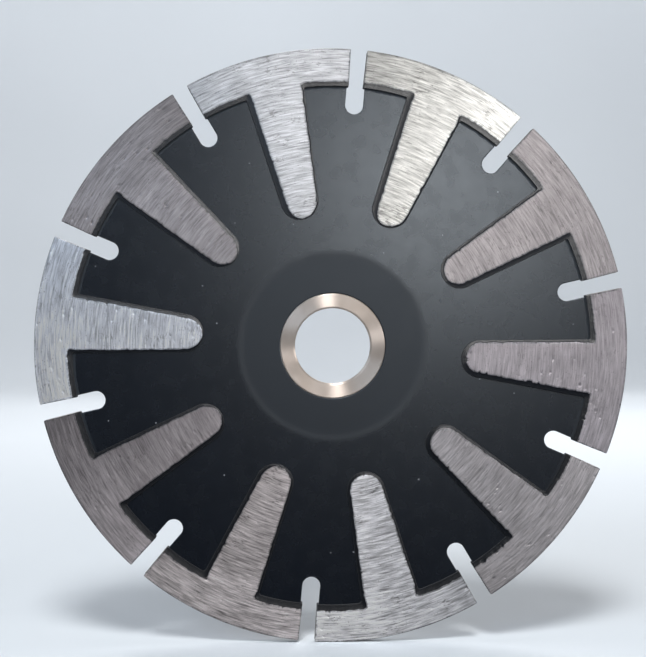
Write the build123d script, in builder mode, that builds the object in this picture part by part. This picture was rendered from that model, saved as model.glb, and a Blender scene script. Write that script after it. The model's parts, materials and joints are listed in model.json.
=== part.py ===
"""Diamond blade for an angle grinder: 125 mm across, with T-shaped sintered segments.

The blade stands upright in the XZ plane. Its axis is Y, its origin is the centre of the
bore on the mid-plane of the core, and its front face looks towards -Y.
Every sketch of the blade's face is drawn on Plane.XZ, whose own x and y are +X and +Z and
whose normal is -Y, so a face sketch reads as the front of the blade does.
"""
from build123d import *
from math import cos, radians, sin
import os

os.makedirs("parts", exist_ok=True)

# Driving dimensions, in millimetres and degrees

# Whole blade
BLADE_R = 62.5              # outside radius, over the segments
SEGMENT_COUNT = 10
PITCH = 360.0 / SEGMENT_COUNT
SEGMENT_PHASE = 23.1        # centre line of segment 1, clockwise from the top of the front

# Steel core
CORE_T = 1.6
CORE_R = 58.5               # the core ends inside the segments' rim
CORE_BORE_R = 22.23 / 2     # standard 22.23 mm bore
CORE_BORE_BREAK = 0.15      # broken edge of the bore
HUB_R = 19.3                # shallow seat for the machine's flanges, on both faces
HUB_DEPTH = 0.1
GULLET_W = 3.8              # U-shaped cooling slot between two segments
GULLET_FLOOR_R = 48.97      # innermost point of its round end
KEY_W = 3.0                 # opening under each tail, which the sintered metal fills
KEY_FROM_R = 36.0
KEY_TO_R = 50.0

# Sintered T-shaped segments, measured at the foot of their edges, where they meet the core
SEGMENT_T = 2.4             # over both faces, so they stand proud of the core
RIM_IN_R = 54.6             # inner edge of the segment's rim
SEGMENT_SPAN = PITCH - 3.15  # degrees that one rim covers
TAIL_END_R = 27.3           # innermost point of the tail
TAIL_END_RADIUS = 4.0       # radius of the tail's round end
TAIL_SLOPE = 5.45           # each side of the tail leans out by this angle
ROOT_FILLET = 0.6           # inside corner where the tail meets the rim
EDGE_BREAK = 0.2            # broken edge round both ground faces

# Reducing bush, from the core's bore to the machine's arbor
BUSH_T = CORE_T - 2 * HUB_DEPTH   # flush with the flange seats
BUSH_CLEARANCE = 0.02       # radial, to the core's bore
BUSH_R = CORE_BORE_R - BUSH_CLEARANCE
ARBOR_R = 15.88 / 2         # standard 15.88 mm arbor
BUSH_OUTER_BREAK = 0.2
BUSH_MOUTH_WIDTH = 0.35     # countersink at both ends of the bore, measured radially
BUSH_MOUTH_DEPTH = 0.25     # and along the axis

# Worked out from the above
GULLET_END_R = GULLET_FLOOR_R + GULLET_W / 2           # centre of the gullet's round end
GULLET_RUN = BLADE_R - GULLET_END_R                    # it runs out past the core's edge
GULLET_START = 90 - SEGMENT_PHASE + PITCH / 2          # anticlockwise from +X
TAIL_END_CENTRE = TAIL_END_R + TAIL_END_RADIUS
TAIL_ROOT_X = (RIM_IN_R + BLADE_R) / 2                 # the tail is drawn on into the rim


def face_plane(angle):
    """Return the face's plane with its x running outwards at an angle above +X."""
    direction = (cos(radians(angle)), 0, sin(radians(angle)))
    return Plane((0, 0, 0), x_dir=direction, z_dir=(0, -1, 0))


def tail_half_width(x):
    """Half the tail's width at a distance x from the blade's axis."""
    slope = radians(TAIL_SLOPE)
    return (TAIL_END_RADIUS + (x - TAIL_END_CENTRE) * sin(slope)) / cos(slope)


# Core: a punched and painted steel disc

with BuildPart() as core:
    with BuildSketch(Plane.XZ):
        Circle(CORE_R)
        Circle(CORE_BORE_R, mode=Mode.SUBTRACT)
        with PolarLocations(GULLET_END_R + GULLET_RUN / 2, SEGMENT_COUNT, GULLET_START):
            SlotCenterToCenter(GULLET_RUN, GULLET_W, mode=Mode.SUBTRACT)
        with PolarLocations((KEY_FROM_R + KEY_TO_R) / 2, SEGMENT_COUNT, 90 - SEGMENT_PHASE):
            SlotOverall(KEY_TO_R - KEY_FROM_R, KEY_W, mode=Mode.SUBTRACT)
    extrude(amount=CORE_T / 2, both=True)
    with BuildSketch(Plane.XZ.offset(CORE_T / 2), Plane.XZ.offset(-CORE_T / 2)):
        Circle(HUB_R)
    extrude(amount=HUB_DEPTH, both=True, mode=Mode.SUBTRACT)
    bore_edges = core.edges().filter_by(GeomType.CIRCLE).filter_by(
        lambda edge: abs(edge.radius - CORE_BORE_R) < BUSH_CLEARANCE)
    chamfer(bore_edges, length=CORE_BORE_BREAK)

core.part.label = "core"
export_step(core.part, "parts/core.step")


# Segments: each one is a single sintered T that wraps both faces and the edge of the core

def make_segment(number):
    """Build one segment, write its file and return it; number 1 is right of the top."""
    centre_line = 90 - SEGMENT_PHASE - (number - 1) * PITCH
    slope = radians(TAIL_SLOPE)
    tangent_x = TAIL_END_CENTRE - TAIL_END_RADIUS * sin(slope)
    tangent_y = TAIL_END_RADIUS * cos(slope)
    root_y = tail_half_width(TAIL_ROOT_X)

    with BuildPart() as segment:
        with BuildSketch(face_plane(centre_line)) as outline:
            with BuildLine():
                side = Line((tangent_x, tangent_y), (TAIL_ROOT_X, root_y))
                other_side = Line((tangent_x, -tangent_y), (TAIL_ROOT_X, -root_y))
                ThreePointArc(side @ 0, (TAIL_END_R, 0), other_side @ 0)
                Line(side @ 1, other_side @ 1)
            make_face()
            with BuildLine():
                outer = CenterArc((0, 0), BLADE_R, -SEGMENT_SPAN / 2, SEGMENT_SPAN)
                inner = CenterArc((0, 0), RIM_IN_R, -SEGMENT_SPAN / 2, SEGMENT_SPAN)
                Line(outer @ 0, inner @ 0)
                Line(outer @ 1, inner @ 1)
            make_face()
            fillet(outline.vertices().group_by(Axis.X)[-2], radius=ROOT_FILLET)
        extrude(amount=SEGMENT_T / 2, both=True)
        chamfer(segment.faces().filter_by(Axis.Y).edges(), length=EDGE_BREAK)
        add(core.part, mode=Mode.SUBTRACT)

    segment.part.label = f"segment_{number:02d}"
    export_step(segment.part, f"parts/segment_{number:02d}.step")
    return segment.part


segments = [make_segment(number) for number in range(1, SEGMENT_COUNT + 1)]


# Reducing bush: a turned steel ring, loose in the core's bore so that it can be taken out

with BuildPart() as reducing_bush:
    with BuildSketch(Plane.XY):
        with BuildLine():
            Polyline(
                (ARBOR_R, BUSH_T / 2 - BUSH_MOUTH_DEPTH),
                (ARBOR_R + BUSH_MOUTH_WIDTH, BUSH_T / 2),
                (BUSH_R - BUSH_OUTER_BREAK, BUSH_T / 2),
                (BUSH_R, BUSH_T / 2 - BUSH_OUTER_BREAK),
                (BUSH_R, BUSH_OUTER_BREAK - BUSH_T / 2),
                (BUSH_R - BUSH_OUTER_BREAK, -BUSH_T / 2),
                (ARBOR_R + BUSH_MOUTH_WIDTH, -BUSH_T / 2),
                (ARBOR_R, BUSH_MOUTH_DEPTH - BUSH_T / 2),
                close=True,
            )
        make_face()
    revolve(axis=Axis.Y)

reducing_bush.part.label = "reducing_bush"
export_step(reducing_bush.part, "parts/reducing_bush.step")
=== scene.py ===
"""Looks of a 125 mm diamond blade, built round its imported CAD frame.

The blade stands upright: its disc lies in the XZ plane, its axis is Y and its front face
looks towards -Y. Angles on the face are clockwise from the top, seen from the front.
Lengths are metres; MM turns millimetres into them.
"""
import json
import math

import bpy
import numpy as np
from mathutils import Matrix, Vector
from mathutils.geometry import delaunay_2d_cdt


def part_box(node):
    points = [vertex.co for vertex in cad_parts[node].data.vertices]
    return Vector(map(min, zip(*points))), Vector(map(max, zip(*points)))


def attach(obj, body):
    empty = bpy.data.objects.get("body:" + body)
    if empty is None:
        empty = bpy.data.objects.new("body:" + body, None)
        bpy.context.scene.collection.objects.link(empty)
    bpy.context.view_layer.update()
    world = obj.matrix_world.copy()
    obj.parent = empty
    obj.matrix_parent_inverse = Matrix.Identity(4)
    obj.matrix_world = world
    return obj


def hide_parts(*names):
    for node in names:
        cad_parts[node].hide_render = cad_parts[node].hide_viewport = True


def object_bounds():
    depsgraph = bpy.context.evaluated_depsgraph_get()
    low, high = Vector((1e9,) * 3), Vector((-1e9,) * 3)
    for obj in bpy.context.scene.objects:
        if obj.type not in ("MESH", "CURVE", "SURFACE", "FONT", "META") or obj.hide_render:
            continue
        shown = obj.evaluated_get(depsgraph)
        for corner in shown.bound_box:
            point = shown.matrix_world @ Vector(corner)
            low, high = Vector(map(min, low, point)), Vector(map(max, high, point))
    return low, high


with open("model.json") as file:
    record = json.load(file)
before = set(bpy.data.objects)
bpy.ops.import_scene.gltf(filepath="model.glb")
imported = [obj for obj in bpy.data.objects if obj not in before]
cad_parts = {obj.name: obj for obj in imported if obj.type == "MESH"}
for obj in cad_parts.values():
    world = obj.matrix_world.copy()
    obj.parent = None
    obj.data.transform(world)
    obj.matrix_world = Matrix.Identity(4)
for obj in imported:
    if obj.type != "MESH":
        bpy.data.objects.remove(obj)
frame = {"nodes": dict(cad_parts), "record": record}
cad_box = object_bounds()

MM = 0.001

# Sizes that the frame gives
BLADE_R = cad_box[1].x
CORE_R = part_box("core")[1].x
CORE_HALF_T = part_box("core")[1].y
SEGMENT_HALF_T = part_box("segment_01")[1].y
BUSH_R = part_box("reducing_bush")[1].x
BUSH_HALF_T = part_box("reducing_bush")[1].y
ARBOR_R = frame["record"]["mounts"][0]["dims"]["r_mm"] * MM
SEGMENTS = sorted(name for name in frame["nodes"] if name.startswith("segment_"))
PITCH = math.tau / len(SEGMENTS)

# Sizes of the blade's face, as in the CAD model
SEGMENT_PHASE = math.radians(23.1)
SEGMENT_SPAN = PITCH - math.radians(3.15)
RIM_IN_R = 54.6 * MM
TAIL_END_R = 27.3 * MM
TAIL_END_RADIUS = 4.0 * MM
TAIL_SLOPE = math.radians(5.45)
ROOT_FILLET = 0.6 * MM
CORNER_RADIUS = 0.25 * MM
GULLET_HALF_W = 1.9 * MM
GULLET_FLOOR_R = 48.97 * MM
KEY_HALF_W = 1.5 * MM
KEY_FROM_R = 36.0 * MM
KEY_TO_R = 50.0 * MM
CORE_BORE_R = 11.115 * MM
HUB_R = 19.3 * MM
HUB_DEPTH = 0.035 * MM          # of the flange seat, as far as its paint leaves it to be seen
SEAT_EDGE = 0.9 * MM            # half the width of the seat's edge
SEAT_BLEND = 1.4 * MM           # half the width over which the paint's gloss changes there

QUARTER = math.pi / 2


# ---------------------------------------------------------------- outlines

def on_circle(radius, angle, centre=(0.0, 0.0)):
    """Return the point of a circle at an angle, anticlockwise from +x."""
    return np.array([centre[0] + radius * math.cos(angle), centre[1] + radius * math.sin(angle)])


def trace(arcs, spacing):
    """Return a closed outline as points, evenly spaced along arcs joined by straight lines.

    Each arc is (centre, radius, first angle, last angle).
    """
    corners = []
    for centre, radius, first, last in arcs:
        steps = max(3, math.ceil(abs(last - first) * radius / spacing))
        angles = np.linspace(first, last, steps + 1)
        corners.append(np.array([on_circle(radius, angle, centre) for angle in angles]))
    points = []
    for arc, following in zip(corners, corners[1:] + corners[:1]):
        points.extend(arc)
        gap = following[0] - arc[-1]
        steps = math.ceil(np.linalg.norm(gap) / spacing)
        points.extend(arc[-1] + gap * step / steps for step in range(1, steps))
    points = np.array(points)
    apart = np.linalg.norm(points - np.roll(points, 1, axis=0), axis=1)
    return points[apart > spacing * 0.01]


def mirrored(arcs):
    """Return arcs followed by their mirror images in the x axis, so that the outline closes."""
    flipped = [((x, -y), radius, -last, -first) for (x, y), radius, first, last in reversed(arcs)]
    return arcs + flipped


def root_corner():
    """Return the centre of the fillet between tail and rim, and the angles where it ends."""
    side_offset = TAIL_END_RADIUS - (TAIL_END_R + TAIL_END_RADIUS) * math.sin(TAIL_SLOPE)
    radius = RIM_IN_R - ROOT_FILLET
    angle = TAIL_SLOPE + math.asin((side_offset + ROOT_FILLET) / radius)
    return on_circle(radius, angle), TAIL_SLOPE - QUARTER, angle


def segment_outline(spacing):
    """Return a segment's outline, anticlockwise, with x running out along its centre line."""
    slope = TAIL_SLOPE
    end = SEGMENT_SPAN / 2
    tail_centre = (TAIL_END_R + TAIL_END_RADIUS, 0.0)
    root_centre, root_start, root_angle = root_corner()
    inner_r = RIM_IN_R + CORNER_RADIUS
    inner_angle = end - math.asin(CORNER_RADIUS / inner_r)
    outer_r = BLADE_R - CORNER_RADIUS
    outer_angle = end - math.asin(CORNER_RADIUS / outer_r)
    arcs = mirrored([
        (tail_centre, TAIL_END_RADIUS, math.pi, QUARTER + slope),
        (root_centre, ROOT_FILLET, root_start, root_angle),
        ((0.0, 0.0), RIM_IN_R, root_angle, inner_angle),
        (on_circle(inner_r, inner_angle), CORNER_RADIUS, inner_angle + math.pi, end + QUARTER),
        (on_circle(outer_r, outer_angle), CORNER_RADIUS, end + QUARTER, outer_angle),
        ((0.0, 0.0), BLADE_R, outer_angle, 0.0),
    ])
    return trace(arcs, spacing)[::-1]


def circle_loop(radius, spacing):
    """Return a circle about the blade's axis as points."""
    halves = [((0.0, 0.0), radius, start, start + math.pi) for start in (0.0, math.pi)]
    return trace(halves, spacing)


def turned(points, angle):
    """Return points turned anticlockwise about the origin."""
    c, s = math.cos(angle), math.sin(angle)
    return points @ np.array([[c, s], [-s, c]])


def core_outline(spacing):
    """Return the core's edge, with a U-shaped gullet between every two segments."""
    floor_centre = GULLET_FLOOR_R + GULLET_HALF_W
    mouth_r = CORE_R - CORNER_RADIUS
    mouth_angle = math.asin((GULLET_HALF_W + CORNER_RADIUS) / mouth_r)
    half = mirrored([
        ((floor_centre, 0.0), GULLET_HALF_W, math.pi, QUARTER),
        (on_circle(mouth_r, mouth_angle), CORNER_RADIUS, -QUARTER, mouth_angle),
    ])
    floor_end, mouth_up, mouth_down, floor_start = half
    arcs = []
    for number in range(len(SEGMENTS)):
        angle = QUARTER - SEGMENT_PHASE + (number + 0.5) * PITCH
        for (x, y), radius, first, last in (mouth_down, floor_start, floor_end, mouth_up):
            centre = tuple(turned(np.array([[x, y]]), angle)[0])
            arcs.append((centre, radius, first + angle, last + angle))
        arcs.append(((0.0, 0.0), CORE_R, angle + mouth_angle, angle + PITCH - mouth_angle))
    return trace(arcs, spacing)


def key_loop(number, spacing):
    """Return the outline of the opening in the core under one tail."""
    arcs = [
        ((KEY_TO_R - KEY_HALF_W, 0.0), KEY_HALF_W, -QUARTER, QUARTER),
        ((KEY_FROM_R + KEY_HALF_W, 0.0), KEY_HALF_W, QUARTER, 3 * QUARTER),
    ]
    return turned(trace(arcs, spacing), QUARTER - SEGMENT_PHASE - number * PITCH)


def outward_normals(loop):
    """Return the unit normals of a closed anticlockwise outline, pointing out of it."""
    along = np.roll(loop, -1, axis=0) - np.roll(loop, 1, axis=0)
    along /= np.linalg.norm(along, axis=1)[:, None]
    return np.stack([along[:, 1], -along[:, 0]], axis=1)


# ---------------------------------------------------------------- seeded noise

def lattice_noise(points, cell, seed):
    """Return smooth noise from -1 to 1 at points; cell is its grain along each axis."""
    scaled = points / np.asarray(cell)
    low = np.floor(scaled.min(axis=0)).astype(int)
    size = np.ceil(scaled.max(axis=0)).astype(int) - low + 2
    values = np.random.default_rng(seed).uniform(-1, 1, size)
    scaled = scaled - low
    base = np.floor(scaled).astype(int)
    part = scaled - base
    part = part * part * (3 - 2 * part)
    total = np.zeros(len(points))
    for corner in np.ndindex(*([2] * points.shape[1])):
        corner = np.array(corner)
        weight = np.prod(np.where(corner, part, 1 - part), axis=1)
        total += weight * values[tuple((base + corner).T)]
    return total


def ramp(values, low, high):
    """Return values eased from 0 at low to 1 at high."""
    t = np.clip((values - low) / (high - low), 0, 1)
    return t * t * (3 - 2 * t)


# ---------------------------------------------------------------- meshes

BLOCK = 4000                    # points handled at a time
SHARP_ANGLE = math.radians(50)


def distance_to(outline, points):
    """Return how far points are from an outline, and the nearest outline point to each."""
    nearest = np.zeros(len(points), int)
    distance = np.zeros(len(points))
    for start in range(0, len(points), BLOCK):
        block = slice(start, start + BLOCK)
        gaps = np.linalg.norm(points[block, None, :] - outline[None, :, :], axis=2)
        nearest[block] = gaps.argmin(axis=1)
        distance[block] = gaps.min(axis=1)
    return distance, nearest


def inside(points, start, end):
    """Return which points lie inside the closed outlines whose edges run from start to end."""
    within = np.zeros(len(points), bool)
    run, rise = (end - start).T
    for block in np.array_split(np.arange(len(points)), len(points) // BLOCK + 1):
        x, y = points[block, 0, None], points[block, 1, None]
        crosses = (start[:, 1] > y) != (end[:, 1] > y)
        with np.errstate(divide="ignore", invalid="ignore"):
            at = start[:, 0] + (y - start[:, 1]) / rise * run
        within[block] = (crosses & (at > x)).sum(axis=1) % 2 == 1
    return within


def moved_in(outline, normals, inset):
    """Return an outline moved in along its normals, or by a vector for every point."""
    inset = np.asarray(inset)
    if inset.ndim == 2:
        return outline - inset
    return outline - normals * inset.reshape(-1, 1)


def next_points(loops):
    """Return the number of the point that follows each point, in loops that are joined up."""
    following = np.arange(1, sum(len(loop) for loop in loops) + 1)
    start = 0
    for loop in loops:
        following[start + len(loop) - 1] = start
        start += len(loop)
    return following


def face_triangles(surface, following):
    """Return the triangles of a flat face whose first points are its closed outlines."""
    edges = list(enumerate(following.tolist()))
    points, _, triangles, *_ = delaunay_2d_cdt(
        [Vector(point) for point in surface / MM], edges, [], 0, 1e-5, False)
    if len(points) != len(surface):
        raise ValueError("an outline crosses itself, or a point lies on it")
    triangles = np.array(triangles)
    rim = surface[:len(following)]
    return triangles[inside(surface[triangles].mean(axis=1), rim, rim[following])]


class Slab:
    """A flat piece with shaped edges, before it is given its place.

    loops: closed outlines with the material on their left
    rings: (inset, depth) from the front face to the back, for every outline point; the depth
    is measured from the front face, and the first and last rings border the two faces
    interior: points inside both faces
    """

    def __init__(self, loops, rings, interior, half_t):
        self.half_t = half_t
        self.outline = np.concatenate(loops)
        self.normals = np.concatenate([outward_normals(loop) for loop in loops])
        following = next_points(loops)
        surface = np.concatenate([moved_in(self.outline, self.normals, rings[0][0]), interior])
        self.place_points(surface, rings)
        self.number_points(surface, len(rings))
        self.faces = self.joined_faces(surface, following, len(rings))

    def place_points(self, surface, rings):
        """Set the flat position and the depth of every point."""
        middle = rings[1:-1]
        ring_xy = [moved_in(self.outline, self.normals, inset) for inset, _ in middle]
        self.xy = np.concatenate([surface, *ring_xy, surface])
        depths = [np.broadcast_to(depth, len(self.outline)) for _, depth in middle]
        flat = np.zeros(len(surface))
        self.depth = np.concatenate([flat, *depths, flat + 2 * self.half_t])

    def number_points(self, surface, ring_count):
        """Set what every point belongs to.

        ring: its ring, counted from the nearer face
        front: whether it is in the front half
        inset, nearest: how far it is from the outline on a face, and the nearest outline point
        """
        count = len(self.outline)
        last = ring_count - 1
        sizes = [len(surface)] + [count] * (ring_count - 2) + [len(surface)]
        ring = np.repeat(np.arange(ring_count), sizes)
        self.ring = np.minimum(ring, last - ring)
        self.front = ring <= last / 2
        inset, nearest = distance_to(self.outline, surface)
        nearest[:count] = np.arange(count)
        wall = np.tile(np.arange(count), ring_count - 2)
        self.nearest = np.concatenate([nearest, wall, nearest])
        self.inset = np.concatenate([inset, np.zeros(len(wall)), inset])

    def joined_faces(self, surface, following, ring_count):
        """Return both faces' triangles and the quads between every two rings."""
        count = len(self.outline)
        here = np.arange(count)
        walls = len(surface) + np.arange(ring_count - 1) * count
        back = walls[-1]
        triangles = face_triangles(surface, following)
        faces = triangles.tolist() + (back + triangles[:, ::-1]).tolist()
        for upper, lower in zip([0, *walls], walls):
            sides = [upper + here, lower + here, lower + following, upper + following]
            faces += np.stack(sides, axis=1).tolist()
        return faces


def new_piece(name, points, faces, material, body, nodes):
    """Make a smooth-shaded piece from points in the blade's frame and put it on its body."""
    mesh = bpy.data.meshes.new(name)
    mesh.from_pydata(np.asarray(points).tolist(), [], faces)
    mesh.shade_smooth()
    mesh.set_sharp_from_angle(angle=SHARP_ANGLE)
    mesh.materials.append(material)
    piece = bpy.data.objects.new(name, mesh)
    bpy.context.scene.collection.objects.link(piece)
    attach(piece, body)
    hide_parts(*nodes)
    return piece


def stand_up(xy, depth, half_t, angle=0.0):
    """Return points in the blade's frame from flat positions and depths below the front."""
    x, z = turned(xy, angle).T
    return np.stack([x, depth - half_t, z], axis=1)


def mirrored_rings(rings, half_t):
    """Return rings from the front face to the middle, followed by the same at the back."""
    return rings + [(inset, 2 * half_t - depth) for inset, depth in reversed(rings)]


# ---------------------------------------------------------------- materials

class Shader:
    """A material and short calls for the nodes that it is made of."""

    def __init__(self, name):
        self.material = bpy.data.materials.new(name)
        self.material.use_nodes = True
        self.tree = self.material.node_tree
        self.surface = next(node for node in self.tree.nodes if node.type == "BSDF_PRINCIPLED")
        self.place = self.add("ShaderNodeTexCoord").outputs["Object"]
        self.x, self.y, self.z = self.add("ShaderNodeSeparateXYZ", self.place).outputs
        squares = [self.math("MULTIPLY", value, value) for value in (self.x, self.z)]
        self.radius = self.math("SQRT", self.math("ADD", *squares))

    def add(self, kind, *values, **settings):
        """Add a node, with its settings by name and its inputs in order."""
        node = self.tree.nodes.new(kind)
        for name, value in settings.items():
            setattr(node, name, value)
        for socket, value in zip(node.inputs, values):
            self.feed(socket, value)
        return node

    def feed(self, socket, value):
        """Link an output to an input, or give the input a plain value."""
        if isinstance(value, bpy.types.NodeSocket):
            self.tree.links.new(value, socket)
        else:
            socket.default_value = value

    def feed_named(self, node, **inputs):
        """Feed a node's inputs by name, with underscores for spaces."""
        for name, value in inputs.items():
            self.feed(node.inputs[name.replace("_", " ")], value)

    def attribute(self, name):
        """Return a value that the mesh gives for every point."""
        return self.add("ShaderNodeAttribute", attribute_name=name).outputs["Fac"]

    def math(self, operation, *values):
        """Return the result of an operation on plain values."""
        return self.add("ShaderNodeMath", *values, operation=operation).outputs[0]

    def combine(self, x, y, z):
        """Return a vector or colour made of three values."""
        return self.add("ShaderNodeCombineXYZ", x, y, z).outputs[0]

    def ease(self, value, low, high, first=0.0, last=1.0):
        """Return a value eased from first at low to last at high."""
        return self.add("ShaderNodeMapRange", value, low, high, first, last,
                        interpolation_type="SMOOTHSTEP").outputs[0]

    def mix(self, factor, first, second, blend="MIX"):
        """Return a mix of two colours."""
        node = self.add("ShaderNodeMix", factor, data_type="RGBA", blend_type=blend)
        colours = [socket for socket in node.inputs if socket.type == "RGBA"]
        for socket, value in zip(colours, (first, second)):
            self.feed(socket, value)
        return next(socket for socket in node.outputs if socket.type == "RGBA")

    def blend(self, factor, first, second):
        """Return a mix of two plain values."""
        return self.math("MULTIPLY_ADD", factor, self.math("SUBTRACT", second, first), first)

    def noise(self, place, detail=2.0, roughness=0.5):
        """Return smooth noise, about 0.25 to 0.75, whose grain is 1 unit of the place given."""
        node = self.add("ShaderNodeTexNoise", noise_dimensions="3D")
        self.feed_named(node, Vector=place, Scale=1.0, Detail=detail, Roughness=roughness)
        return node.outputs[0]

    def grain(self, size, detail=2.0):
        """Return noise of the same grain in all directions."""
        place = self.add("ShaderNodeVectorMath", self.place, (1 / size,) * 3, operation="MULTIPLY")
        return self.noise(place.outputs[0], detail)

    def marks(self, across, along, shift=0.0, detail=2.0):
        """Return noise drawn out along circles about the blade's axis."""
        radial = self.math("MULTIPLY_ADD", self.radius, 1 / across, shift)
        radial = self.math("MULTIPLY_ADD", self.y, 1 / across, radial)
        place = self.combine(radial, self.math("MULTIPLY", self.x, 1 / along),
                             self.math("MULTIPLY", self.z, 1 / along))
        return self.noise(place, detail)

    def bump(self, height, distance, strength=1.0):
        """Raise the surface by a height times a distance."""
        node = self.add("ShaderNodeBump")
        self.feed_named(node, Height=height, Distance=distance, Strength=strength)
        self.feed(self.surface.inputs["Normal"], node.outputs[0])

    def brushed(self, amount):
        """Spread the reflections across marks that run round the blade's axis."""
        self.surface.inputs["Anisotropic"].default_value = amount
        across = self.combine(self.x, self.radius, self.z)
        self.feed(self.surface.inputs["Tangent"], across)

    def finish(self, **inputs):
        """Feed the surface's inputs by name and return the material."""
        self.feed_named(self.surface, **inputs)
        return self.material


# Each segment's ground metal, clockwise from the one right of the top: its colour, how bright its
# rim is beside its tail, how much brighter it is SLANT_REACH clockwise of its middle, and its
# contrast. The colours are partly the metal's own tone and partly painted reflection, set as bright
# as each segment mirrors the lamps; the rim's brightness and the slant are painted highlight and
# shade
SEGMENT_TONES_AND_PAINTED_LIGHT = (
    ((0.61, 0.60, 0.58), 1.03, 0.36, 1.8),
    ((0.39, 0.36, 0.37), 0.96, -0.03, 1.2),
    ((0.50, 0.46, 0.49), 0.96, 0.18, 1.0),
    ((0.55, 0.51, 0.52), 1.09, -0.09, 1.1),
    ((0.69, 0.68, 0.71), 1.25, 0.17, 1.9),
    ((0.51, 0.47, 0.48), 1.35, -0.03, 1.9),
    ((0.38, 0.35, 0.37), 1.18, -0.25, 1.2),
    ((0.78, 0.80, 0.87), 1.07, -0.12, 1.3),
    ((0.38, 0.34, 0.34), 0.82, -0.18, 1.1),
    ((0.48, 0.48, 0.50), 0.88, 0.00, 1.5),
)


SLANT_REACH = 12 * MM

SPECK_COLOUR = (0.09, 0.085, 0.08, 1.0)
# painted shade in the pits of the ground faces
PIT_SHADE = (0.075, 0.072, 0.070, 1.0)
WALL_COLOUR = (0.30, 0.27, 0.24, 1.0)
GRAIN_COLOUR = (0.13, 0.13, 0.12, 1.0)
SLOPE_PAINT = (0.006, 0.007, 0.010, 1.0)
FOOT_PAINT = (0.018, 0.018, 0.020, 1.0)
CORE_PAINTS = ((0.0008, 0.0016, 0.0045, 1.0), (0.0012, 0.0022, 0.0055, 1.0))
CORE_SHEEN = (0.84, 0.92, 1.0, 1.0)
DUST_COLOUR = (0.55, 0.56, 0.58, 1.0)
DUST_SPACING = 5 * MM
STEEL_COLOURS = ((0.60, 0.505, 0.44, 1.0), (0.67, 0.575, 0.51, 1.0))
STAGE_COLOURS = ((0.66, 0.69, 0.72, 1.0), (0.70, 0.73, 0.76, 1.0))


def streaked_metal(shader, number, broad, fine):
    """Return a segment's ground metal, streaked along its grinding marks, and painted light and
    shade.
    """
    tone_and_painted_light, rim_painted_light, slant_painted_light, contrast = SEGMENT_TONES_AND_PAINTED_LIGHT[number]
    light = shader.math("MULTIPLY_ADD", broad, 1.15 * contrast, 1 - 1.1 * contrast)
    light = shader.math("MULTIPLY_ADD", fine, 0.7 * contrast, light)
    light = shader.math("MULTIPLY_ADD", shader.grain(6 * MM), 0.35 * contrast, light)
    # Painted highlight and shade: brighter or darker towards its clockwise side, as it mirrors the
    # lamps
    angle = SEGMENT_PHASE + number * PITCH
    clockwise = shader.math("MULTIPLY", shader.x, math.cos(angle) / SLANT_REACH)
    clockwise = shader.math("MULTIPLY_ADD", shader.z, -math.sin(angle) / SLANT_REACH, clockwise)
    light = shader.math("MULTIPLY", light, shader.math("MULTIPLY_ADD", clockwise, slant_painted_light, 1.0))
    # Painted highlight and shade: the rim brighter or darker than the tail, as it mirrors the lamps
    rim_painted_light_ramp = shader.ease(shader.radius, KEY_TO_R, RIM_IN_R, 1.0, rim_painted_light)
    light = shader.math("MULTIPLY", light, rim_painted_light_ramp)
    grey = shader.combine(light, light, light)
    return shader.mix(1.0, (*tone_and_painted_light, 1.0), grey, "MULTIPLY")


def specked(shader, metal, contrast, shift):
    """Return metal with the dark specks of open grains, which gather into torn strokes."""
    specks = shader.ease(shader.marks(0.22 * MM, 0.34 * MM, shift + 9), 0.64, 0.72)
    more_inwards = shader.ease(shader.radius, 28 * MM, 38 * MM, 0.1, 0.0)
    patch = shader.math("ADD", shader.grain(4 * MM, 1.0), more_inwards)
    strokes = shader.ease(shader.marks(0.32 * MM, 1.1 * MM, shift + 13), 0.54, 0.62)
    strokes = shader.math("MULTIPLY", strokes, shader.ease(patch, 0.58, 0.68, 0.0, 0.5 * contrast))
    specks = shader.math("MINIMUM", shader.math("MAXIMUM", specks, strokes), 1.0)
    return shader.mix(shader.math("MULTIPLY", specks, 0.65), metal, SPECK_COLOUR)


def slope_paint(shader, down, edge, free):
    """Return how much black paint lies on the slopes, and how much painted shade darkens it."""
    torn = shader.math("MULTIPLY_ADD", shader.grain(0.3 * MM), 0.03 * MM, down)
    paint = shader.math("MULTIPLY", shader.ease(torn, 0.013 * MM, 0.050 * MM), edge)
    paint = shader.math("MULTIPLY", paint, shader.math("SUBTRACT", 1.0, free))
    # Painted shade: the paint is made darker on the lower segments, most of all along the
    # ground metal, where the metal's edge shades it
    painted_shade = shader.ease(torn, 0.052 * MM, 0.070 * MM, 0.65, 0.42)
    painted_shade = shader.math("MULTIPLY", painted_shade, shader.ease(shader.z, -22 * MM, 6 * MM, 1.0, 0.0))
    return paint, painted_shade


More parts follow.
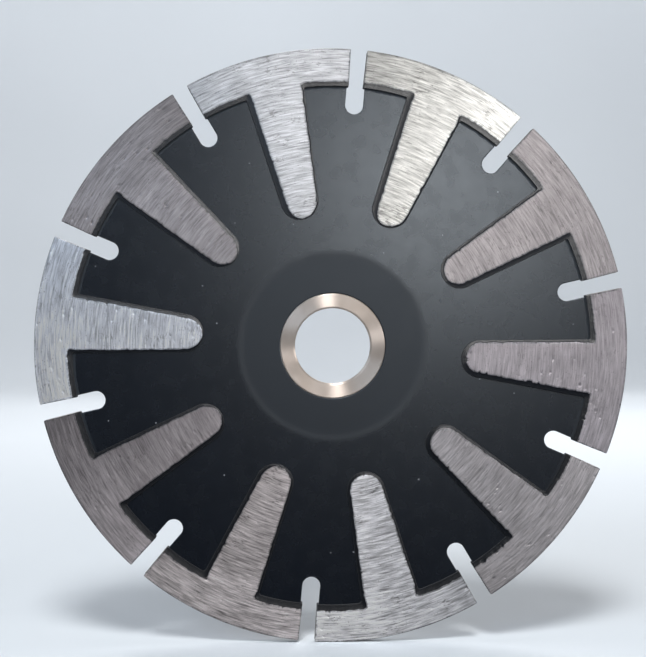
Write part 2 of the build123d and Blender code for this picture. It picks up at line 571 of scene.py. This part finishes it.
def ground_metal(number):
    """Sintered metal, ground on its faces and black with paint on its sloped edges."""
    shader = Shader(f"ground_metal_{number + 1:02d}")
    shift = 17.0 * number
    broad = shader.marks(0.32 * MM, 4.2 * MM, shift)
    fine = shader.marks(0.10 * MM, 2.4 * MM, shift + 5)
    metal = streaked_metal(shader, number, broad, fine)
    metal = specked(shader, metal, SEGMENT_TONES_AND_PAINTED_LIGHT[number][-1], shift)

    # Pits inside the face are painted dark: painted shade in the hollows
    down = shader.math("SUBTRACT", SEGMENT_HALF_T, shader.math("ABSOLUTE", shader.y))
    edge = shader.attribute("edge")
    pit = shader.math("MULTIPLY", shader.ease(down, 0.035 * MM, 0.075 * MM),
                      shader.math("SUBTRACT", 1.0, edge))
    metal = shader.mix(shader.math("MULTIPLY", pit, 0.75), metal, PIT_SHADE)

    # The unground outer wall: brown-grey metal with darker diamond grains
    grit = shader.ease(shader.grain(0.42 * MM), 0.5, 0.6)
    wall = shader.mix(grit, WALL_COLOUR, GRAIN_COLOUR)
    free = shader.attribute("free_wall")
    colour = shader.mix(free, metal, wall)

    # Paint lies on the slopes, which grinding did not reach
    paint, painted_shade = slope_paint(shader, down, edge, free)
    foot = shader.ease(down, 0.09 * MM, 0.12 * MM)
    colour = shader.mix(paint, colour, shader.mix(foot, SLOPE_PAINT, FOOT_PAINT))
    glossy = shader.math("MULTIPLY", paint, shader.math("SUBTRACT", 1.0, painted_shade))
    metallic = shader.math("SUBTRACT", 1.0, glossy)

    rough = shader.math("MULTIPLY_ADD", fine, 0.22, 0.27)
    rough = shader.math("MULTIPLY_ADD", free, 0.25, rough)
    rough = shader.math("MULTIPLY_ADD", pit, 0.3, rough)
    rough = shader.blend(paint, rough, shader.math("MULTIPLY_ADD", foot, 0.5, 0.27))
    shader.bump(shader.math("ADD", fine, broad), 0.02 * MM, 0.6)
    shader.brushed(0.6)
    return shader.finish(Base_Color=colour, Metallic=metallic, Roughness=rough,
                         Specular_IOR_Level=0.8)


def dusted(shader, base):
    """Return a colour with a few pale specks of dust, the same on both faces."""
    cells = shader.add("ShaderNodeTexVoronoi", voronoi_dimensions="3D", feature="F1")
    place = shader.combine(shader.math("MULTIPLY", shader.x, 1 / DUST_SPACING), 0.0,
                           shader.math("MULTIPLY", shader.z, 1 / DUST_SPACING))
    shader.feed_named(cells, Vector=place, Scale=1.0)
    dust = shader.ease(cells.outputs["Distance"], 0.025, 0.045, 1.0, 0.0)
    return shader.mix(shader.math("MULTIPLY", dust, 0.30), base, DUST_COLOUR)


def core_paint():
    """Semi-gloss black paint, a little matter on the flange seats."""
    shader = Shader("black_paint")
    base = shader.mix(shader.ease(shader.grain(14 * MM), 0.35, 0.65), *CORE_PAINTS)
    colour = dusted(shader, base)

    seat = shader.ease(shader.radius, HUB_R - SEAT_BLEND, HUB_R + SEAT_BLEND, 1.0, 0.0)
    rough = shader.math("MULTIPLY_ADD", seat, 0.13, 0.240)
    rough = shader.math("MULTIPLY_ADD", shader.grain(3 * MM), 0.06, rough)
    # Painted shadow: the paint in the corner under the rims is made dull and uneven, mostly under
    # the upper segments, where the rims shade it from the lamps above
    ragged = shader.math("MULTIPLY_ADD", shader.grain(1.2 * MM), 0.5 * MM, shader.radius)
    corner = shader.ease(ragged, RIM_IN_R - 0.35 * MM, RIM_IN_R)
    corner = shader.math("MULTIPLY", corner, shader.ease(shader.z, -30 * MM, 0.0))
    rough = shader.blend(corner, rough, 0.75)
    shader.bump(shader.grain(0.9 * MM, 1.0), 0.002 * MM)
    return shader.finish(Base_Color=colour, Roughness=rough, Specular_IOR_Level=0.8,
                         Specular_Tint=CORE_SHEEN)


def turned_steel():
    """Bright steel with fine concentric tool marks."""
    shader = Shader("turned_steel")
    grooves = shader.marks(0.07 * MM, 14 * MM)
    colour = shader.mix(shader.ease(shader.grain(5 * MM), 0.35, 0.65), *STEEL_COLOURS)
    rough = shader.math("MULTIPLY_ADD", grooves, 0.08, 0.37)
    shader.bump(grooves, 0.006 * MM)
    shader.brushed(1.0)
    return shader.finish(Base_Color=colour, Metallic=0.75, Roughness=rough)


# ---------------------------------------------------------------- segments

OUTLINE_STEP = 0.17 * MM
ROW_STEP = 0.18 * MM            # rows of points run along the grinding marks
COLUMN_STEP = 0.28 * MM
# (inset, depth) in mm of the edge where the segment meets the core, and where it stands free
SLOPED_EDGE = (
    (1.15, 0.0), (0.96, 0.0), (0.80, 0.02), (0.64, 0.056), (0.22, 0.07), (0.08, 0.08), (0.0, 0.42),
)
SHARP_EDGE = (
    (0.45, 0.0), (0.16, 0.0), (0.10, 0.012), (0.05, 0.035), (0.02, 0.08), (0.0, 0.16), (0.0, 0.42),
)
WALL_DEPTHS = (0.58, 0.74, 0.90, 1.06)
WALL_RING = 5                   # the free walls are gritty from this ring on
UNGROUND_RING = 3               # and have the colour of unground metal from this one
# Width in mm of each segment's slope: on its anticlockwise side, on its clockwise side, under
# its rim and at its tail's end. The faces were ground a little out of line with the mould, so
# no two segments are the same.
SLOPE_WIDTHS = (
    (1.40, 0.50, 1.25, 0.45),
    (0.75, 1.20, 1.25, 0.80),
    (0.65, 1.20, 1.15, 1.15),
    (0.70, 1.05, 1.20, 1.15),
    (0.60, 0.80, 1.45, 0.80),
    (0.65, 0.95, 1.45, 0.65),
    (0.85, 0.80, 1.45, 0.40),
    (0.65, 1.00, 1.10, 0.30),
    (0.90, 0.90, 1.10, 0.30),
    (1.30, 0.50, 1.10, 0.30),
)
MEAN_SLOPE = 0.9 * MM           # the width that SLOPED_EDGE is drawn for
# How much of a chip, and of a change in the slope's width, each ring takes part in
NO_SHARE = [0.0] * len(WALL_DEPTHS)
CHIP_SHARE = np.array([1.0, 1.0, 1.0, 0.85, 0.2, 0.05, 0.0, *NO_SHARE])
WIDE_SHARE = np.array([1.0, 1.0, 0.97, 0.85, 0.2, 0.05, 0.0, *NO_SHARE])
# How chipped the clockwise side of each segment's edge is; the other side is even
CHIPPED_SIDE = (0.7, 0.8, 2.4, 2.0, 1.0, 0.9, 0.9, 0.8, 0.7, 0.7)
EVEN_SIDE = 0.8
PITS_PER_FACE = 60
SLOPE_REACH = 3.6 * MM          # the slope's width shifts points this far into the faces
CORNER_REACH = 1.5 * MM         # and the gullet's side this far along the rim's inner edge
CHIP_REACH = 0.25 * MM          # a chip fades out over about this far into the faces
RIM_FROM_R = RIM_IN_R - 0.001 * MM   # outline points from here on out are the rim's
LEAVES_CORE = (RIM_IN_R + 0.05 * MM, RIM_IN_R + 0.4 * MM)
MITRE_FROM = 0.12               # in mm; rings inset by this or more keep a sharp root corner
MITRE_TURN = math.radians(40)
CORNER_ROOM = 0.3               # share of the free edge's width that is left at a corner
CORNER_RAMP = (0.15 * MM, 1.3 * MM)
# Every segment draws from seeds of its own, and so does its back
SEGMENT_SEEDS = 1000
BACK_SEEDS = 500
GRIT_SEED = 70
GRAIN_SEED = 90


def corner_mitre(outline):
    """Return how much further an inset reaches at each outline point to keep root corners sharp."""
    centre, first, last = root_corner()
    x, y = outline[:, 0] - centre[0], abs(outline[:, 1]) - centre[1]
    angle = np.arctan2(y, x)
    turn = np.clip(np.minimum(angle - first, last - angle), 0, MITRE_TURN)
    return np.where(np.hypot(x, y) < ROOT_FILLET * 1.01, 1 / np.cos(turn), 1.0)


def fading(distance):
    """Return how much of a shift in the slope's width is left at a distance from the outline."""
    full = SLOPED_EDGE[0][0] * MM
    return np.clip((SLOPE_REACH - distance) / (SLOPE_REACH - full), 0, 1)


def edge_directions(outline):
    """Return which way the sloped edge and the free edge lie back at each outline point.

    The slope under the rim runs straight out through the gullet's side, so there it moves
    points along that side instead of away from it.
    """
    radius = np.linalg.norm(outline, axis=1)[:, None]
    normals = outward_normals(outline)
    on_rim = radius > RIM_FROM_R
    slope = np.where(on_rim, -outline / radius * fading(radius - RIM_IN_R), normals)

    end = SEGMENT_SPAN / 2
    corners = np.array([on_circle(BLADE_R, -end), on_circle(BLADE_R, end)])
    to_corner, _ = distance_to(corners, outline)
    room = CORNER_ROOM + (1 - CORNER_ROOM) * ramp(to_corner, *CORNER_RAMP)[:, None]
    up = outline[:, 1:] > 0
    side = np.where(up, (-math.sin(end), math.cos(end)), (-math.sin(end), -math.cos(end)))
    to_side = -(outline * side).sum(axis=1)[:, None]
    near_side = side * np.clip(1 - to_side / CORNER_REACH, 0, 1) * on_rim
    free = np.where(radius > RIM_IN_R + CORNER_RADIUS, normals * room, near_side)
    return slope, free


def face_points(border):
    """Return points inside a segment's face, in rows along its grinding marks."""
    half_width = BLADE_R * math.sin(SEGMENT_SPAN / 2)
    rows = []
    for number, radius in enumerate(np.arange(TAIL_END_R, BLADE_R, ROW_STEP)):
        y = np.arange(-half_width, half_width, COLUMN_STEP) + (number % 2) * COLUMN_STEP / 2
        y = y[abs(y) < radius * math.sin(SEGMENT_SPAN / 2)]
        rows.append(np.stack([np.sqrt(radius ** 2 - y ** 2), y], axis=1))
    points = np.concatenate(rows)
    clearance, _ = distance_to(border, points)
    within = inside(points, border, np.roll(border, -1, axis=0))
    return points[within & (clearance > ROW_STEP * 0.7)]


def segment_slab():
    """Return the slab from which every segment is shaped.

    With it come, for each outline point, how much it is on the core, and the directions
    that its sloped and its free edge lie back in.
    """
    outline = segment_outline(OUTLINE_STEP)
    on_core = 1 - ramp(np.linalg.norm(outline, axis=1), *LEAVES_CORE)
    mitre = corner_mitre(outline)[:, None]
    slope, free = edge_directions(outline)
    rings = []
    for (sloped, fall), (sharp, drop) in zip(SLOPED_EDGE, SHARP_EDGE):
        reach = MM * sloped
        reach = reach + (mitre - 1) * (reach + ROOT_FILLET) * min(sloped / MITRE_FROM, 1)
        depth = MM * (on_core * fall + (1 - on_core) * drop)
        rings.append((slope * reach + free * MM * sharp, depth))
    rings += [(0.0, depth * MM) for depth in WALL_DEPTHS]
    interior = face_points(outline - rings[0][0])
    slab = Slab([outline], mirrored_rings(rings, SEGMENT_HALF_T), interior, SEGMENT_HALF_T)
    return slab, on_core, (slope * mitre, free)


def ground_relief(xy, seed):
    """Return how far a ground face lies below its plane: grinding marks, waves and pits."""
    across = np.stack([np.linalg.norm(xy, axis=1), xy[:, 1]], axis=1)
    marks = lattice_noise(across, (0.36 * MM, 2.4 * MM), seed)
    waves = lattice_noise(across, (2.6 * MM, 4.5 * MM), seed + 1)
    relief = MM * (0.005 * (1 + marks) + 0.008 * (1 + waves))
    chance = np.random.default_rng(seed + 2)
    for _ in range(PITS_PER_FACE):
        centre = across[chance.integers(len(across))]
        size = chance.uniform(0.08, 0.17) * MM
        stretch = chance.uniform(1.0, 2.5)
        depth = chance.uniform(0.02, 0.06) * MM
        away = (across - centre) / (size, size * stretch)
        relief += depth * np.exp(-(away ** 2).sum(axis=1))
    return relief


def slope_width(slab, number):
    """Return the width of a segment's slope at each outline point."""
    anticlockwise, clockwise, rim, tail_end = SLOPE_WIDTHS[number]
    radius = np.linalg.norm(slab.outline, axis=1)
    facing = ((slab.outline * slab.normals[:len(radius)]).sum(axis=1) / radius) ** 2
    side = anticlockwise + (clockwise - anticlockwise) * ramp(-slab.outline[:, 1], -MM, MM)
    across = np.where(radius > (KEY_FROM_R + KEY_TO_R) / 2, rim, tail_end)
    facing = np.where(radius > RIM_FROM_R, 1, facing)
    return MM * (side + (across - side) * facing)


def chipped_edges(slab, strength, seed):
    """Return how far the sloped and the free edge are chipped back at each outline point."""
    outline = slab.outline
    step = np.linalg.norm(outline - np.roll(outline, 1, axis=0), axis=1)
    free_along = np.cumsum(step)[:, None]
    # Along a gullet's side the slope's chips stay what they are at the corner of the rim
    angle = np.arctan2(outline[:, 1], outline[:, 0])
    radius = np.linalg.norm(outline, axis=1)
    turn = abs(angle - np.roll(angle, 1)) * radius
    along = np.cumsum(np.where(radius > RIM_IN_R, turn, step))[:, None]
    fine = lattice_noise(along, (0.34 * MM,), seed)
    coarse = lattice_noise(along, (1.0 * MM,), seed + 1)
    chips = ramp(lattice_noise(along, (0.8 * MM,), seed + 2), 0.35, 0.9)
    side = np.where(outline[:, 1] < 0, strength, EVEN_SIDE)
    sloped = 0.05 * fine + 0.06 * coarse + 0.16 * chips * side * (1 + 0.4 * fine)
    fine = lattice_noise(free_along, (0.34 * MM,), seed + 6)
    chips = ramp(lattice_noise(free_along, (0.8 * MM,), seed + 7), 0.35, 0.9)
    free = 0.025 * (1 + fine) * chips * (radius > RIM_IN_R + MM)
    return MM * np.clip(sloped, -0.12, 0.35), MM * free


def shaped_segment(slab, on_core, directions, number):
    """Return one segment's flat positions and depths, chipped, pitted and gritty."""
    xy, depth = slab.xy.copy(), slab.depth.copy()
    core_here = on_core[slab.nearest]
    slope, free = directions
    for front in (True, False):
        seed = SEGMENT_SEEDS * number + (0 if front else BACK_SEEDS)
        side = slab.front == front
        sloped_chips, free_chips = chipped_edges(slab, CHIPPED_SIDE[number], seed)
        chips = slope * sloped_chips[:, None] + free * free_chips[:, None]
        wider = slope * (slope_width(slab, number) - MEAN_SLOPE)[:, None]
        past_border = np.maximum(slab.inset - SLOPED_EDGE[0][0] * MM, 0)
        on_face = slab.ring == 0
        chip_share = np.where(on_face, np.exp(-past_border / CHIP_REACH), CHIP_SHARE[slab.ring])
        follows = on_face & (core_here > 0.5)
        wide_share = np.where(follows, fading(slab.inset), WIDE_SHARE[slab.ring])
        shift = chip_share[:, None] * chips[slab.nearest]
        shift = shift + wide_share[:, None] * wider[slab.nearest]
        xy[side] -= shift[side]

        relief = ground_relief(xy, seed + 3) * np.where(slab.ring <= 1, 1.0, 0.0)
        depth[side] += (relief if front else -relief)[side]

    # The free walls are rough, with hard grains that stand out of the sintered metal
    wall = slab.ring >= WALL_RING
    along = np.arctan2(xy[:, 1], xy[:, 0]) * BLADE_R
    spot = np.stack([along, depth, np.linalg.norm(xy, axis=1)], axis=1)
    rough = 0.5 + 0.5 * lattice_noise(spot, 0.32 * MM, GRIT_SEED + number)
    grains = ramp(lattice_noise(spot, 0.5 * MM, GRAIN_SEED + number), 0.25, 0.6)
    sunk = MM * (0.03 + 0.05 * rough) * (1 - grains) * (1 - core_here)
    xy[wall] -= (sunk[:, None] * slab.normals[slab.nearest])[wall]
    return xy, depth


def make_segments():
    """Build the ten segments; number 1 is right of the top and they count clockwise."""
    slab, on_core, directions = segment_slab()
    for number, node in enumerate(SEGMENTS):
        xy, depth = shaped_segment(slab, on_core, directions, number)
        angle = QUARTER - SEGMENT_PHASE - number * PITCH
        points = stand_up(xy, depth, SEGMENT_HALF_T, angle)
        piece = new_piece(f"sintered_{node}", points, slab.faces, ground_metal(number),
                          "blade", [node])
        free_wall = (1 - on_core[slab.nearest]) * (slab.ring >= UNGROUND_RING)
        for name, value in (("free_wall", free_wall), ("edge", slab.ring >= 1)):
            attribute = piece.data.attributes.new(name, "FLOAT", "POINT")
            attribute.data.foreach_set("value", value.astype(np.float32))


# ---------------------------------------------------------------- core

CORE_STEP = 0.35 * MM
# (inset, depth) in mm of the core's edge, rounded over by its paint
CORE_EDGE = ((0.21, 0.0), (0.14, 0.0), (0.10, 0.006), (0.05, 0.03), (0.015, 0.08), (0.0, 0.14))
# Rings of points across the seat's edge, in half-widths from its middle
SEAT_RINGS = (-2, -1, -0.5, 0, 0.5, 1, 2)


def make_core():
    """Build the core: a punched disc with gullets, keyed openings, a bore and flange seats."""
    loops = [core_outline(CORE_STEP), circle_loop(CORE_BORE_R, CORE_STEP)[::-1]]
    loops += [key_loop(number, CORE_STEP)[::-1] for number in range(len(SEGMENTS))]
    rings = [(inset * MM, depth * MM) for inset, depth in CORE_EDGE]
    seat_edge = circle_loop(HUB_R, CORE_STEP)
    interior = np.concatenate([seat_edge * (1 + ring * SEAT_EDGE / HUB_R) for ring in SEAT_RINGS])
    slab = Slab(loops, mirrored_rings(rings, CORE_HALF_T), interior, CORE_HALF_T)
    radius = np.linalg.norm(slab.xy, axis=1)
    seat = HUB_DEPTH * (1 - ramp(radius, HUB_R - SEAT_EDGE, HUB_R + SEAT_EDGE))
    depth = slab.depth + np.where(slab.front, seat, -seat)
    new_piece("painted_core", stand_up(slab.xy, depth, CORE_HALF_T), slab.faces, core_paint(),
              "blade", ["core"])


# ---------------------------------------------------------------- bush

BUSH_STEPS = 288
BUSH_BREAK = 0.2 * MM
MOUTH_WIDTH = 0.35 * MM
MOUTH_DEPTH = 0.25 * MM
BUSH_HOLD = (0.09 * MM, 0.025 * MM)   # points lie this far on both sides of every corner


def softened(corners, reaches):
    """Return a closed outline with points at some reaches on both sides of every corner.

    The smallest reach cuts the corner itself off.
    """
    corners = np.array(corners)
    points = []
    neighbours = np.roll(corners, 1, axis=0), corners, np.roll(corners, -1, axis=0)
    for before, corner, after in zip(*neighbours):
        back = (before - corner) / np.linalg.norm(before - corner)
        ahead = (after - corner) / np.linalg.norm(after - corner)
        points += [corner + back * reach for reach in reaches]
        points += [corner + ahead * reach for reach in reversed(reaches)]
    return np.array(points)


def make_bush():
    """Build the reducing bush: a turned ring with a countersink at both ends of its bore."""
    upper = [
        (ARBOR_R, BUSH_HALF_T - MOUTH_DEPTH),
        (ARBOR_R + MOUTH_WIDTH, BUSH_HALF_T),
        (BUSH_R - BUSH_BREAK, BUSH_HALF_T),
        (BUSH_R, BUSH_HALF_T - BUSH_BREAK),
    ]
    lower = [(radius, -y) for radius, y in reversed(upper)]
    profile = softened(upper + lower, BUSH_HOLD)
    count = len(profile)
    angles = np.arange(BUSH_STEPS) * math.tau / BUSH_STEPS
    radius = np.tile(profile[:, 0], BUSH_STEPS)
    y = np.tile(profile[:, 1], BUSH_STEPS)
    turn = np.repeat(angles, count)
    points = np.stack([radius * np.cos(turn), y, radius * np.sin(turn)], axis=1)
    here = np.arange(count)
    following = (here + 1) % count
    faces = []
    for step in range(BUSH_STEPS):
        this, other = step * count, (step + 1) % BUSH_STEPS * count
        quads = [this + here, other + here, other + following, this + following]
        faces += np.stack(quads, axis=1).tolist()
    new_piece("turned_bush", points, faces, turned_steel(), "bush", ["reducing_bush"])


# ---------------------------------------------------------------- stage, lights and camera

STAGE_HALF = 3.0                # half the floor's width, and the height of the walls
BACKDROP_Y = 1.0                # behind the blade, well clear of views from its sides
BACKDROP_BEND = 0.5
BEND_STEPS = 24
SURROUND_R = 2.2                # where the floor starts to bend up in all other directions
SURROUND_STEPS = 96
NEUTRAL = (0.97, 0.98, 1.0)
FLOOR_WASH_AT = 0.9             # distance out and height of the lamps over the floor
FLOOR_WASH_TO = 2.4             # and the distance out that they are aimed at


def stage_sheet(name, rows):
    """Make a pale sheet through rows of points, whose z is their height above the floor."""
    wide = len(rows[0])
    points = [(x, y, z - BLADE_R) for row in rows for x, y, z in row]
    faces = [(wide * i + j, wide * i + j + 1, wide * (i + 1) + j + 1, wide * (i + 1) + j)
             for i in range(len(rows) - 1) for j in range(wide - 1)]
    mesh = bpy.data.meshes.new(name)
    mesh.from_pydata(points, [], faces)
    mesh.shade_smooth()
    shader = Shader(name)
    mottle = shader.ease(shader.grain(0.4), 0.3, 0.7)
    colour = shader.mix(mottle, *STAGE_COLOURS)
    mesh.materials.append(shader.finish(Base_Color=colour, Roughness=0.9))
    sheet = bpy.data.objects.new(name, mesh)
    bpy.context.scene.collection.objects.link(sheet)
    return sheet


def bent_up(start):
    """Return a profile of (distance, height) that bends up from the floor into a wall."""
    turns = [step / BEND_STEPS * QUARTER for step in range(BEND_STEPS + 1)]
    bend = [(start + BACKDROP_BEND * math.sin(turn), BACKDROP_BEND * (1 - math.cos(turn)))
            for turn in turns]
    return [*bend, (start + BACKDROP_BEND, STAGE_HALF)]


def pale_stage():
    """Make a pale floor with a backdrop, and a round wall that only the camera sees.

    The blade's front mirrors neither the floor in front of it nor the round wall.
    """
    across = (-STAGE_HALF, STAGE_HALF)
    profile = [(0.0, 0.0), *bent_up(BACKDROP_Y)]
    stage_sheet("backdrop", [[(x, y, z) for x in across] for y, z in profile])
    front = stage_sheet("front_floor", [[(x, y, 0.0) for x in across] for y in (-STAGE_HALF, 0.0)])
    front.visible_glossy = False
    turns = [math.tau * step / SURROUND_STEPS for step in range(SURROUND_STEPS + 1)]
    rows = [[(*on_circle(radius, turn), z) for turn in turns] for radius, z in bent_up(SURROUND_R)]
    surround = stage_sheet("surround", rows)
    surround.visible_diffuse = False
    surround.visible_glossy = False
    surround.visible_shadow = False


def lamp(name, place, aim, size, watts, colour):
    """Add a soft rectangular light at a place, shining at a point."""
    light = bpy.data.lights.new(name, "AREA")
    light.shape = "RECTANGLE"
    light.size, light.size_y = size
    light.energy = watts
    light.color = colour
    holder = bpy.data.objects.new(name, light)
    holder.location = place
    holder.rotation_euler = (Vector(place) - Vector(aim)).to_track_quat("Z", "Y").to_euler()
    holder.visible_camera = False
    bpy.context.scene.collection.objects.link(holder)


def softbox(name, clockwise, off_axis, distance, size, watts, colour):
    """Add a soft light that faces the blade.

    clockwise is its direction round the blade's front, and off_axis its angle from the axis.
    """
    clockwise, off_axis = math.radians(clockwise), math.radians(off_axis)
    direction = Vector((math.sin(clockwise) * math.sin(off_axis), -math.cos(off_axis),
                        math.cos(clockwise) * math.sin(off_axis)))
    lamp(name, direction * distance, (0.0, 0.0, 0.0), size, watts, colour)


def light_blade():
    """Light the blade softly, mostly with what its faces mirror."""
    softbox("above", -4, 55, 0.9, (0.20, 0.30), 6.5, (0.97, 0.99, 1.0))
    softbox("right", 79, 55, 0.9, (0.20, 0.22), 2.0, NEUTRAL)
    softbox("near_camera", 46, 11, 1.0, (0.19, 0.19), 1.06, (1.0, 0.99, 0.97))
    softbox("upper_left", 308, 45, 0.9, (0.8, 0.4), 2.5, (0.66, 0.82, 1.0))
    softbox("behind", 20, 135, 0.9, (0.5, 0.5), 3.5, (1.0, 1.0, 1.0))


def light_stage():
    """Wash the backdrop and the floor, with lamps that face away from the blade."""
    lamp("wall_wash", (0.0, 0.35, 0.8), (0.0, 1.5, 0.35), (1.2, 0.3), 10.0, NEUTRAL)
    for x, y in ((-1, 0), (0, -1), (1, 0)):
        place = (FLOOR_WASH_AT * x, FLOOR_WASH_AT * y, FLOOR_WASH_AT)
        aim = (FLOOR_WASH_TO * x, FLOOR_WASH_TO * y, 0.1)
        lamp("floor_wash", place, aim, (1.6, 0.5), 14.0, NEUTRAL)


def light_world(strength):
    """Fill the shadows with an even, pale light."""
    world = bpy.data.worlds.new("pale_room")
    world.use_nodes = True
    background = world.node_tree.nodes["Background"]
    background.inputs["Color"].default_value = (0.62, 0.80, 1.0, 1.0)
    background.inputs["Strength"].default_value = strength
    bpy.context.scene.world = world


CAMERA_AZIMUTH = math.radians(-2.04)    # slightly left of the blade's axis
CAMERA_ELEVATION = math.radians(0.67)
CAMERA_DISTANCE = 0.300
CAMERA_LEFT = 2.02 * MM         # the camera is moved this far aside without being turned
CAMERA_UP = 3.65 * MM
CAMERA_LENS = 77.8              # for Blender's own 36 mm sensor


def add_camera():
    """Look at the blade's front from nearly straight ahead."""
    back = Vector((math.sin(CAMERA_AZIMUTH) * math.cos(CAMERA_ELEVATION),
                   -math.cos(CAMERA_AZIMUTH) * math.cos(CAMERA_ELEVATION),
                   math.sin(CAMERA_ELEVATION)))
    right = Vector((math.cos(CAMERA_AZIMUTH), math.sin(CAMERA_AZIMUTH), 0.0))
    up = back.cross(right)
    camera = bpy.data.objects.new("camera", bpy.data.cameras.new("camera"))
    camera.data.lens = CAMERA_LENS
    camera.location = back * CAMERA_DISTANCE - right * CAMERA_LEFT + up * CAMERA_UP
    camera.rotation_euler = Matrix((right, up, back)).transposed().to_euler()
    bpy.context.scene.collection.objects.link(camera)
    bpy.context.scene.camera = camera


make_segments()
make_core()
make_bush()
pale_stage()
light_blade()
light_stage()
light_world(0.035)
add_camera()
bpy.context.scene.view_settings.view_transform = "Standard"
